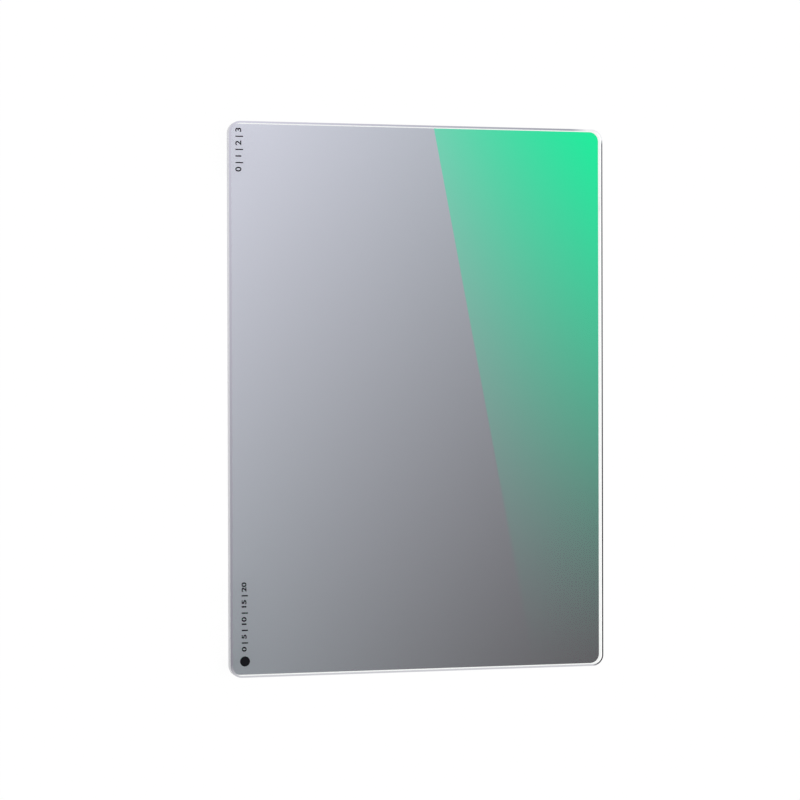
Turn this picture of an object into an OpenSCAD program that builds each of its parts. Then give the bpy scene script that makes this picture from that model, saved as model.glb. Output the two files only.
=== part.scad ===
// Rectangular glass filter plate for a 4 x 5.65 inch filter tray.
// It lies on its back face: X across the plate, Y along it, Z through the glass.
// The origin is the middle of the back face.

/* [Plate] */
// Width of the plate, 4 inches
plate_w = 101.6; // [60:0.1:170]
// Length of the plate, 5.65 inches
plate_l = 143.5; // [60:0.1:200]
// Thickness of the glass, face to face
plate_t = 4; // [2:0.1:6]
// Radius of the four corners, seen from the front
corner_r = 3; // [1:0.1:12]

/* [Edges] */
// Leg of the bevel ground along the front face
front_bevel = 0.5; // [0.1:0.05:0.9]
// Leg of the bevel ground along the back face
back_bevel = 0.5; // [0.1:0.05:0.9]

/* [Hidden] */

// Facets of a drawn circle
$fn = 96;
// Length and width left between the centres of the corners
run_l = plate_l - 2 * corner_r;
run_w = plate_w - 2 * corner_r;

// Half section of the ground edge: reach out from the middle, height up from the back
module half_section(reach)
    polygon([
        [0, 0],
        [reach - back_bevel, 0],
        [reach, back_bevel],
        [reach, plate_t - front_bevel],
        [reach - front_bevel, plate_t],
        [0, plate_t]
    ]);

// Straight bar of glass along Y, ground along both of its long edges
module ground_bar(width, length)
    rotate([90, 0, 0])
        linear_extrude(height = length, center = true)
            union() {
                half_section(width / 2);
                mirror([1, 0]) half_section(width / 2);
            }

// Quarter turn of the same ground edge
module ground_corner()
    rotate_extrude(angle = 90)
        half_section(corner_r);

// The corners, placed round the plate
module corners()
    for (x = [0, 1], y = [0, 1])
        mirror([x, 0, 0])
            mirror([0, y, 0])
                translate([run_w / 2, run_l / 2, 0])
                    ground_corner();

module glass_plate()
    color([0.62, 0.65, 0.70, 0.55])
        union() {
            ground_bar(plate_w, run_l);
            rotate([0, 0, 90]) ground_bar(plate_l, run_w);
            corners();
        }

glass_plate();
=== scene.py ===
from math import cos, radians, sin

import bmesh
import bpy
from mathutils import Matrix, Vector


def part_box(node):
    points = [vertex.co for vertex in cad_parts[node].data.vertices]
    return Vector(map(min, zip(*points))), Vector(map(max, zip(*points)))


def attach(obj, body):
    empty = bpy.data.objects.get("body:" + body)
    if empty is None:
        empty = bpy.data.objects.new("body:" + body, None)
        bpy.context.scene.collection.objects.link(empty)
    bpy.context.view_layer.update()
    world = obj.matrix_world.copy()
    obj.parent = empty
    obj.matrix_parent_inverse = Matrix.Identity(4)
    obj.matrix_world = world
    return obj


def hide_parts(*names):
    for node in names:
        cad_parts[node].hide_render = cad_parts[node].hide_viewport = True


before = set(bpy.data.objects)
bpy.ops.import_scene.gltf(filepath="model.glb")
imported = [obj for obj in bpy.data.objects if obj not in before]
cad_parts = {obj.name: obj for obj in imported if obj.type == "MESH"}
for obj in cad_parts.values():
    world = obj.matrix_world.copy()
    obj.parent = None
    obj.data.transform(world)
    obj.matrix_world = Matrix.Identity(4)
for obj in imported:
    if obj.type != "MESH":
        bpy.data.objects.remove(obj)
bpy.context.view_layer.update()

# The photographer's camera. The plate lies on its back, so the camera looks down at its front
# face, from a little to the left of it, and the plate's top edge is at the top of the picture.
glass_low, glass_high = (Vector(corner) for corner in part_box("glass_plate"))
turn_left = radians(15.0)
tilt_down = radians(-0.5)
roll = radians(-0.15)
camera_distance = 0.6515
aim_at = Vector((-0.0056, -0.0003, glass_high.z))
lens_mm = 112.0
sensor_mm = 36.0

away = Vector(
    (-sin(turn_left) * cos(tilt_down), -sin(tilt_down), cos(turn_left) * cos(tilt_down))
)
level = Vector((0, 1, 0)).cross(away).normalized()
facing = Matrix((level, away.cross(level), away)).transposed().to_4x4()
photographer = bpy.data.cameras.new("camera")
photographer.sensor_width = sensor_mm
photographer.lens = lens_mm
camera = bpy.data.objects.new("camera", photographer)
camera.matrix_world = (
    Matrix.Translation(aim_at + camera_distance * away) @ facing @ Matrix.Rotation(roll, 4, "Z")
)
bpy.context.collection.objects.link(camera)
bpy.context.scene.camera = camera
bpy.context.scene.view_settings.view_transform = "Standard"

# The studio table: a sheet of white card. To the camera it mostly glows an even white, so only a
# faint shadow shows on it. It lies a hair below the glass, because card has a nap.
table_size = 3.0
card_gap = 0.00005
card_fibres = ((0.98, 0.98, 0.98), (1, 1, 1))
fibre_scale = 900
card_roughness = 0.9
card_glow = 0.7

sheet = bmesh.new()
bmesh.ops.create_grid(sheet, x_segments=1, y_segments=1, size=table_size / 2)
bmesh.ops.translate(sheet, vec=(0, 0, glass_low.z - card_gap), verts=sheet.verts)
table = bpy.data.objects.new("table", bpy.data.meshes.new("table"))
sheet.to_mesh(table.data)
sheet.free()
bpy.context.collection.objects.link(table)

# A Mix node holds inputs for numbers, vectors and colours: these are its colour ones.
MIX_COLOURS_IN = slice(6, 8)
MIX_COLOUR_OUT = 2


def new_finish(name):
    """A new material, with its node tree and its main shader."""
    material = bpy.data.materials.new(name)
    material.use_nodes = True
    return material, material.node_tree, material.node_tree.nodes["Principled BSDF"]


def feed(tree, socket, term):
    """Gives a socket a plain number, a plain colour, or what another node puts out."""
    if isinstance(term, (int, float)):
        socket.default_value = term
    elif isinstance(term, tuple):
        socket.default_value = (*term, 1)
    else:
        tree.links.new(term, socket)


def worked_out(tree, operation, *terms):
    """What a Math node makes of its terms."""
    node = tree.nodes.new("ShaderNodeMath")
    node.operation = operation
    for socket, term in zip(node.inputs, terms):
        feed(tree, socket, term)
    return node.outputs[0]


def colour_mix(tree, factor, first, second):
    """All the first colour at a factor of 0, and all the second at 1."""
    node = tree.nodes.new("ShaderNodeMix")
    node.data_type = "RGBA"
    feed(tree, node.inputs["Factor"], factor)
    for socket, colour in zip(node.inputs[MIX_COLOURS_IN], (first, second)):
        feed(tree, socket, colour)
    return node.outputs[MIX_COLOUR_OUT]


def shader_mix(tree, factor, first, second):
    """All the first shader's light at a factor of 0, and all the second's at 1."""
    node = tree.nodes.new("ShaderNodeMixShader")
    for socket, term in zip(node.inputs, (factor, first, second)):
        feed(tree, socket, term)
    return node.outputs[0]


def show(tree, shader):
    """Puts a shader's light on the surface."""
    feed(tree, tree.nodes["Material Output"].inputs["Surface"], shader)


def place_on_piece(tree):
    """Where on its piece a point of the surface lies."""
    return tree.nodes.new("ShaderNodeTexCoord").outputs["Object"]


def speckle(tree, scale):
    """A fine unevenness through the piece, with about this many specks to a metre."""
    noise = tree.nodes.new("ShaderNodeTexNoise")
    feed(tree, noise.inputs["Scale"], scale)
    feed(tree, noise.inputs["Vector"], place_on_piece(tree))
    return noise.outputs[0]


def studio_rays(tree):
    """1 for the rays that show the studio: to the camera, off a shine, or through the glass."""
    path = tree.nodes.new("ShaderNodeLightPath").outputs
    shown = worked_out(tree, "MAXIMUM", path["Is Camera Ray"], path["Is Glossy Ray"])
    return worked_out(tree, "MAXIMUM", shown, path["Is Transmission Ray"])


white_card, tree, card = new_finish("white_card")
feed(tree, card.inputs["Roughness"], card_roughness)
feed(tree, card.inputs["Specular IOR Level"], 0.0)
feed(tree, card.inputs["Base Color"], colour_mix(tree, speckle(tree, fibre_scale), *card_fibres))
even_white = tree.nodes.new("ShaderNodeEmission")
evenness = worked_out(tree, "MULTIPLY", studio_rays(tree), card_glow)
show(tree, shader_mix(tree, evenness, card.outputs[0], even_white.outputs[0]))
table.data.materials.append(white_card)

# The studio light. The room is an even white, and one wide lamp on the right whitens the right
# wall from outside. The lamp lights the plate, but its mirror image in the glass is left out.
room_light = 0.87
room_white = 1.0
lamp_light = 0.65
lamp_spread = radians(35)
lamp_from = Vector((0.9, 0.3, 1.0))


def between(tree, share, low, high):
    """The low number at a share of 0, and the high one at 1."""
    node = tree.nodes.new("ShaderNodeMapRange")
    feed(tree, node.inputs["Value"], share)
    feed(tree, node.inputs["To Min"], low)
    feed(tree, node.inputs["To Max"], high)
    return node.outputs[0]


room = bpy.data.worlds.new("room")
bpy.context.scene.world = room
room.use_nodes = True
tree = room.node_tree
room_walls = tree.nodes["Background"]
feed(tree, room_walls.inputs["Color"], (1, 1, 1))
room_strength = between(tree, studio_rays(tree), room_light, room_white)
feed(tree, room_walls.inputs["Strength"], room_strength)

lamp = bpy.data.lights.new("lamp", "SUN")
lamp.energy = lamp_light
lamp.angle = lamp_spread
lamp_stand = bpy.data.objects.new("lamp", lamp)
lamp_stand.matrix_world = lamp_from.to_track_quat("Z", "Y").to_matrix().to_4x4()
lamp_stand.visible_glossy = False
bpy.context.collection.objects.link(lamp_stand)

# The filter plate: one sheet of clear optical glass, sawn to size, with rounded corners. Its side
# walls, bevels and faces are ground and polished, and both faces are coated in a vacuum. Nothing
# holds it: it lies loose.
corner_radius = 0.0030
corner_steps = 16
bevel_leg = 0.0005
arris = 0.00004
ink_film = 0.00003
crease_angle = radians(12)
level_slack = 1e-6
bevel_leans = (0.5, 0.9)
glass_top = glass_high - Vector((0, 0, ink_film))
glass_size = glass_top - glass_low

blank = bmesh.new()
bmesh.ops.create_cube(blank, size=1.0)
bmesh.ops.scale(blank, vec=glass_size, verts=blank.verts)
bmesh.ops.translate(blank, vec=(glass_low + glass_top) / 2, verts=blank.verts)
blank.normal_update()


def lean(face):
    """1 for the flat faces, 0 for the side walls, and between them for the bevels."""
    return round(abs(face.normal.z), 3)


def upright(edge):
    return abs(edge.verts[0].co.z - edge.verts[1].co.z) > level_slack


def round_a_flat(edge):
    return not upright(edge) and {lean(face) for face in edge.link_faces} == {0, 1}


def beside_bevel(edge):
    least, most = bevel_leans
    leans = [lean(face) for face in edge.link_faces]
    return any(least < share < most for share in leans) and any(share in (0, 1) for share in leans)


def grind(wanted, width, steps):
    """Takes the glass off along the wanted edges, in this many steps from side to side."""
    bmesh.ops.bevel(
        blank, geom=[edge for edge in blank.edges if wanted(edge)], offset=width, segments=steps,
        profile=0.5, affect="EDGES", material=-1,
    )
    blank.normal_update()


grind(upright, corner_radius, corner_steps)
grind(round_a_flat, bevel_leg, 1)
grind(beside_bevel, arris, 1)

CLEAR, WALL, COATED, BEVEL = range(4)
flat_lean = 0.99
bevel_lean = 0.3
for face in blank.faces:
    face.smooth = True
    if face.normal.z > flat_lean:
        face.material_index = CLEAR
    elif face.normal.z > bevel_lean:
        face.material_index = BEVEL
    elif face.normal.z > -flat_lean:
        face.material_index = WALL
    else:
        face.material_index = COATED
plate = bpy.data.objects.new("filter_glass", bpy.data.meshes.new("filter_glass"))
blank.to_mesh(plate.data)
blank.free()
plate.data.set_sharp_from_angle(angle=crease_angle)
bpy.context.collection.objects.link(plate)
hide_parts("glass_plate")
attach(plate, "root")

# The front face: clear polished glass, with the antireflection coating's faint green shine. The
# melt was never quite even, so its tint wanders a little from place to place.
glass_ior = 1.52
glass_shine = (0.25, 1.0, 0.65)
glass_tints = ((0.978, 1.0, 0.988), (0.984, 1.0, 0.992))
melt_scale = 12


def let_light_in(tree, glass_shader):
    """Lamp light and diffuse light pass straight through, and light the coating as if bare."""
    path = tree.nodes.new("ShaderNodeLightPath").outputs
    straight = worked_out(tree, "MAXIMUM", path["Is Shadow Ray"], path["Is Diffuse Ray"])
    nothing = tree.nodes.new("ShaderNodeBsdfTransparent")
    show(tree, shader_mix(tree, straight, glass_shader, nothing.outputs[0]))


clear_glass, tree, glass = new_finish("clear_glass")
feed(tree, glass.inputs["Transmission Weight"], 1.0)
feed(tree, glass.inputs["Roughness"], 0.0)
feed(tree, glass.inputs["IOR"], glass_ior)
feed(tree, glass.inputs["Specular Tint"], glass_shine)
feed(tree, glass.inputs["Base Color"], colour_mix(tree, speckle(tree, melt_scale), *glass_tints))
let_light_in(tree, glass.outputs[0])
plate.data.materials.append(clear_glass)

# The side walls and the back bevel: polished glass too, but light that runs inside the plate
# comes out here. Their glow colour is painted by side: white where seen through the front face,
# and a painted paler grey shade from outside. Polishing left faint lines along them.
wall_tint = (0.85, 0.86, 0.86)
wall_shine = 0.2
wall_painted_shade_outside = (0.72, 0.72, 0.73)
wall_painted_glow_inside = (1, 1, 1)
wall_glow = 0.92
line_scale = 9000
line_roughness = (0.08, 0.22)

wall_glass, tree, shine = new_finish("wall_glass")
feed(tree, shine.inputs["Base Color"], wall_tint)
feed(tree, shine.inputs["IOR"], glass_ior)
feed(tree, shine.inputs["Specular IOR Level"], wall_shine)
height = tree.nodes.new("ShaderNodeSeparateXYZ")
feed(tree, height.inputs[0], place_on_piece(tree))
lines = tree.nodes.new("ShaderNodeTexNoise")
lines.noise_dimensions = "1D"
feed(tree, lines.inputs["Scale"], line_scale)
feed(tree, lines.inputs["W"], height.outputs["Z"])
feed(tree, shine.inputs["Roughness"], between(tree, lines.outputs[0], *line_roughness))
glow = tree.nodes.new("ShaderNodeBsdfTranslucent")
from_inside = tree.nodes.new("ShaderNodeNewGeometry").outputs["Backfacing"]
# The glow's colour is painted: white from inside, and a painted grey shade from outside.
feed(tree, glow.inputs["Color"], colour_mix(tree, from_inside, wall_painted_shade_outside, wall_painted_glow_inside))
let_light_in(tree, shader_mix(tree, wall_glow, shine.outputs[0], glow.outputs[0]))
plate.data.materials.append(wall_glass)

# The coating's painted reflections over the plate, as a screen shows them: a painted reflected
# grey that runs from pale lavender at the top left to dark at the bottom right, and over its top
# right a painted green reflection with one straight edge. Places are shares of the coated face,
# from its top left corner.
screen_gamma = 2.2
painted_grey_top_left = (0.815, 0.810, 0.865)
painted_grey_top_right = (0.600, 0.605, 0.645)
painted_grey_bottom_left = (0.555, 0.550, 0.585)
painted_grey_bottom_right = (0.360, 0.310, 0.345)

painted_reflection_green = (0.02, 0.96, 0.58)
reflection_at_edge = 0.39
reflection_at_side = 0.87
reflection_power = 1.28
edge_at_top = 0.545
edge_slant = 0.273

painted_reflections = bpy.data.node_groups.new("coating_painted_reflections", "ShaderNodeTree")
painted_reflections.interface.new_socket("Bevel", in_out="INPUT", socket_type="NodeSocketFloat")
painted_reflections.interface.new_socket("Shade", in_out="OUTPUT", socket_type="NodeSocketColor")
place = painted_reflections.nodes.new("ShaderNodeSeparateXYZ")
feed(painted_reflections, place.inputs[0], place_on_piece(painted_reflections))
coated_width = glass_size.x - 2 * bevel_leg
coated_length = glass_size.y - 2 * bevel_leg
across = worked_out(painted_reflections, "MULTIPLY_ADD", place.outputs["X"], 1 / coated_width, 0.5)
down = worked_out(painted_reflections, "MULTIPLY_ADD", place.outputs["Y"], -1 / coated_length, 0.5)

# Painted reflection: a grey from pale at the top left to dark at the bottom right.
painted_grey = colour_mix(
    painted_reflections,
    down,
    colour_mix(painted_reflections, across, painted_grey_top_left, painted_grey_top_right),
    colour_mix(painted_reflections, across, painted_grey_bottom_left, painted_grey_bottom_right),
)

# Painted reflection: a green patch with one straight edge, fading towards the foot.
edge_line = worked_out(painted_reflections, "MULTIPLY_ADD", down, edge_slant, edge_at_top)
past_line = worked_out(painted_reflections, "SUBTRACT", across, edge_line)
to_side = worked_out(painted_reflections, "SUBTRACT", 1.0, edge_line)
spread = worked_out(painted_reflections, "DIVIDE", past_line, to_side)
strong = worked_out(painted_reflections, "MULTIPLY_ADD", spread, reflection_at_side - reflection_at_edge, reflection_at_edge)
from_foot = worked_out(painted_reflections, "MAXIMUM", worked_out(painted_reflections, "SUBTRACT", 1.0, down), 0.0)
fade = worked_out(painted_reflections, "POWER", from_foot, reflection_power)
on_reflection = worked_out(painted_reflections, "GREATER_THAN", past_line, 0.0)
reflection_share = worked_out(painted_reflections, "MULTIPLY", on_reflection, worked_out(painted_reflections, "MULTIPLY", fade, strong))
on_face = colour_mix(painted_reflections, reflection_share, painted_grey, painted_reflection_green)

# The same painted grey as seen through the front bevel, where it has no painted green reflection.
# It is painted paler along the foot, with a painted shade much darker along the right, and a
# painted glint nearly white round the top right corner, which faces the lamp.
painted_foot_light = (0.80, 0.80, 0.82)
painted_side_shade = (0.05, 0.05, 0.06)
painted_side_shade_at_top = 0.35
painted_glint_tone = (0.92, 0.92, 0.93)


def grows(share, start, end):
    """0 where the share is at its start, and 1 where it is at its end."""
    return worked_out(painted_reflections, "MULTIPLY_ADD", share, 1 / (end - start), -start / (end - start))


# Masks for the painted light on the bevel: the paler foot, the shaded right side and the glint.
near_foot = grows(down, 0.98, 1.0)
near_side = grows(across, 0.975, 1.0)
near_painted_glint = worked_out(painted_reflections, "MINIMUM", grows(down, 0.025, 0.015), grows(across, 0.9152, 0.9587))
darkness = worked_out(painted_reflections, "MULTIPLY_ADD", down, 1 - painted_side_shade_at_top, painted_side_shade_at_top)
along_foot = colour_mix(painted_reflections, near_foot, painted_grey, painted_foot_light)
along_side = colour_mix(painted_reflections, darkness, painted_grey, painted_side_shade)
round_plate = colour_mix(painted_reflections, near_side, along_foot, along_side)
on_bevel = colour_mix(painted_reflections, near_painted_glint, round_plate, painted_glint_tone)

bevel_or_not = painted_reflections.nodes.new("NodeGroupInput").outputs["Bevel"]
to_linear = painted_reflections.nodes.new("ShaderNodeGamma")
feed(painted_reflections, to_linear.inputs["Color"], colour_mix(painted_reflections, bevel_or_not, on_face, on_bevel))
feed(painted_reflections, to_linear.inputs["Gamma"], screen_gamma)
feed(painted_reflections, painted_reflections.nodes.new("NodeGroupOutput").inputs["Shade"], to_linear.outputs[0])

# The coating on the back face. Seen through the glass it has no shine of its own, because the
# front face has it, but from behind it is as glossy as the glass. Its colour is the painted
# reflection and painted shade from the group above.
film_roughness = 0.25
film_gloss_roughness = 0.03
SEEN_ON_FACE, SEEN_ON_BEVEL = 0.0, 1.0


def painted_coating_shade(tree, seen_on):
    """The coating's painted reflections and shade, as the flat front face or the front bevel shows
    them.
    """
    node = tree.nodes.new("ShaderNodeGroup")
    node.node_tree = painted_reflections
    feed(tree, node.inputs["Bevel"], seen_on)
    return node.outputs["Shade"]


coating, tree, film = new_finish("coating")
feed(tree, film.inputs["Roughness"], film_roughness)
feed(tree, film.inputs["Specular IOR Level"], 0.0)
feed(tree, film.inputs["Coat Roughness"], film_gloss_roughness)
through_glass = tree.nodes.new("ShaderNodeNewGeometry").outputs["Backfacing"]
feed(tree, film.inputs["Coat Weight"], worked_out(tree, "SUBTRACT", 1.0, through_glass))
feed(tree, film.inputs["Base Color"], painted_coating_shade(tree, SEEN_ON_FACE))
plate.data.materials.append(coating)

# The front bevel: polished and narrow. It turns the light inward, so its colour is painted with
# the coating's grey, never from the side on which the coating looks green, and with the painted
# shade and painted glint above.
bevel_roughness = 0.08
bevel_shine = 0.05

bevel_glass, tree, facet = new_finish("bevel_glass")
feed(tree, facet.inputs["Roughness"], bevel_roughness)
feed(tree, facet.inputs["Specular IOR Level"], bevel_shine)
feed(tree, facet.inputs["Base Color"], painted_coating_shade(tree, SEEN_ON_BEVEL))
let_light_in(tree, facet.outputs[0])
plate.data.materials.append(bevel_glass)

# The printed marks: black ceramic ink, screen printed on the front face and fired. Two plain
# scales of numbers run up the left edge, and the lower one starts from a round dot. Their places
# are measured from the glass's lower left corner, and the ink reaches a little into the glass.
ink_depth = 1.2 * ink_film
dot_radius = 0.0013
dot_steps = 48
dot_left, dot_low = 0.00368, 0.00428
dot_place = Vector((glass_low.x + dot_left, glass_low.y + dot_low, glass_high.z - ink_depth / 2))
type_depth = 0.1
ink_roughness = 0.55
ink_shine = 0.03
ink_blacks = ((0.004, 0.004, 0.006), (0.012, 0.012, 0.015))
grain_scale = 3000

# Each row is set in type of any size and depth, and then brought to its own size and place.
marks = bmesh.new()
for numbers, weight, left, low, height, length in (
    ("0 | 1 | 2 | 3", 0.018, 0.00156, 0.13040, 0.00205, 0.01124),
    ("0 | 5 | 10 | 15 | 20", 0.030, 0.00283, 0.00680, 0.00165, 0.01787),
):
    type_set = bpy.data.curves.new("numbers", "FONT")
    type_set.body = numbers
    type_set.offset = weight
    type_set.extrude = type_depth
    setting = bpy.data.objects.new("numbers", type_set)
    row = bmesh.new()
    row.from_mesh(bpy.data.meshes.new_from_object(setting))
    bpy.data.objects.remove(setting)
    bmesh.ops.rotate(row, matrix=Matrix.Rotation(radians(90), 3, "Z"), verts=row.verts)
    lowest = Vector([min(v.co[axis] for v in row.verts) for axis in range(3)])
    highest = Vector([max(v.co[axis] for v in row.verts) for axis in range(3)])
    wanted = Vector((height, length, ink_depth))
    growth = [wanted[axis] / (highest[axis] - lowest[axis]) for axis in range(3)]
    corner = Vector((glass_low.x + left, glass_low.y + low, glass_high.z - ink_depth))
    bmesh.ops.translate(row, vec=-lowest, verts=row.verts)
    bmesh.ops.scale(row, vec=growth, verts=row.verts)
    bmesh.ops.translate(row, vec=corner, verts=row.verts)
    printed = bpy.data.meshes.new("row")
    row.to_mesh(printed)
    row.free()
    marks.from_mesh(printed)
bmesh.ops.create_cone(
    marks, cap_ends=True, segments=dot_steps, radius1=dot_radius, radius2=dot_radius,
    depth=ink_depth, matrix=Matrix.Translation(dot_place),
)
ink = bpy.data.objects.new("printed_marks", bpy.data.meshes.new("printed_marks"))
marks.to_mesh(ink.data)
marks.free()
bpy.context.collection.objects.link(ink)
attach(ink, "root")

black_ink, tree, pigment = new_finish("black_ink")
feed(tree, pigment.inputs["Roughness"], ink_roughness)
feed(tree, pigment.inputs["Specular IOR Level"], ink_shine)
feed(tree, pigment.inputs["Base Color"], colour_mix(tree, speckle(tree, grain_scale), *ink_blacks))
ink.data.materials.append(black_ink)
